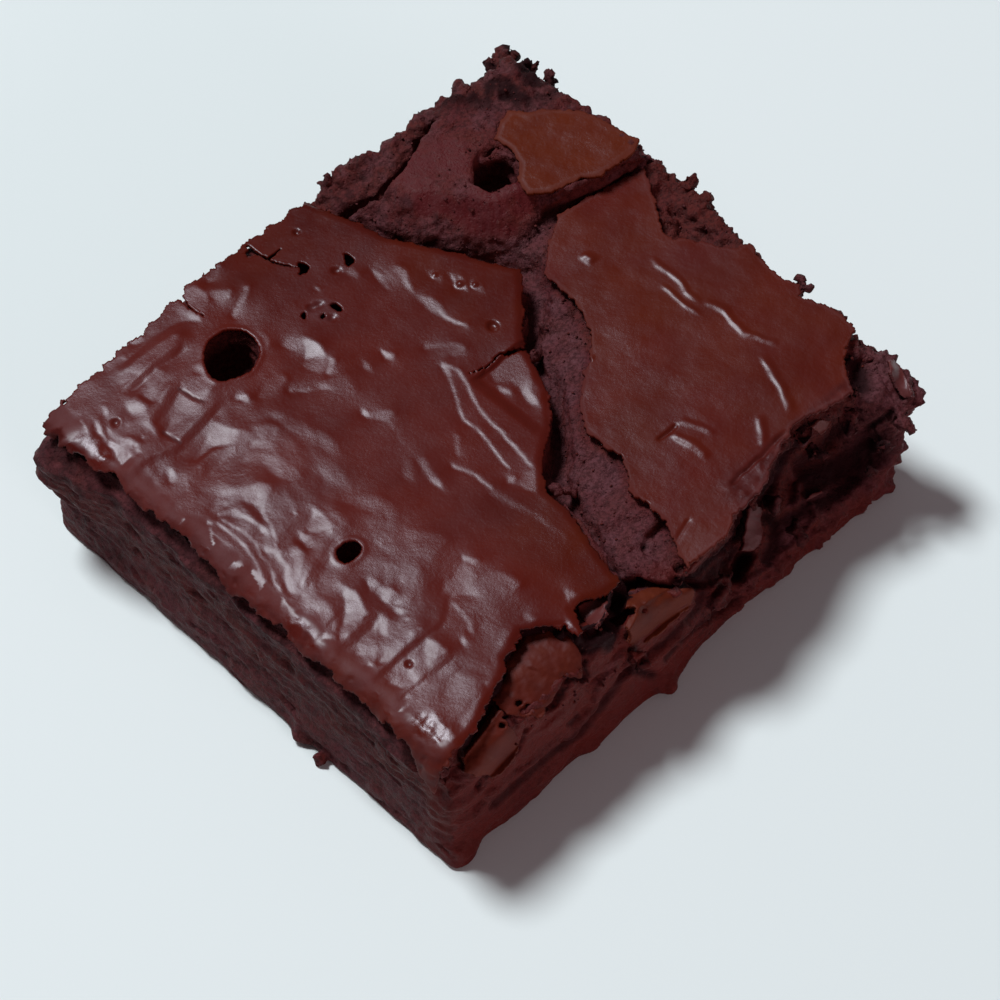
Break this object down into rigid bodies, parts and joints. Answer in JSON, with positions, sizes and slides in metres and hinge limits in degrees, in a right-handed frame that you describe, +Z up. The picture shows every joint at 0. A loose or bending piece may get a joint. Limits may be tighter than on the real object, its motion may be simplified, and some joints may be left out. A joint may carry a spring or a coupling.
{
  "type": "flourless brownie",
  "caption": "Square of dense chocolate brownie with a cracked, wrinkled glossy crust, burst bubbles and torn fudgy sides.",
  "frame": {"origin": "centre of the bounding box at the base", "axes": "+X along the longer side of the square, +Z up through the thickness"},
  "size_m": [0.0704, 0.0628, 0.0207],
  "materials": {
    "crust": "thin wrinkled cocoa crust, satin to glossy",
    "crumb": "dense moist chocolate crumb, rough and nearly matt"
  },
  "bodies": {
    "root": {"brownie": "crust"}
  },
  "joints": []
}
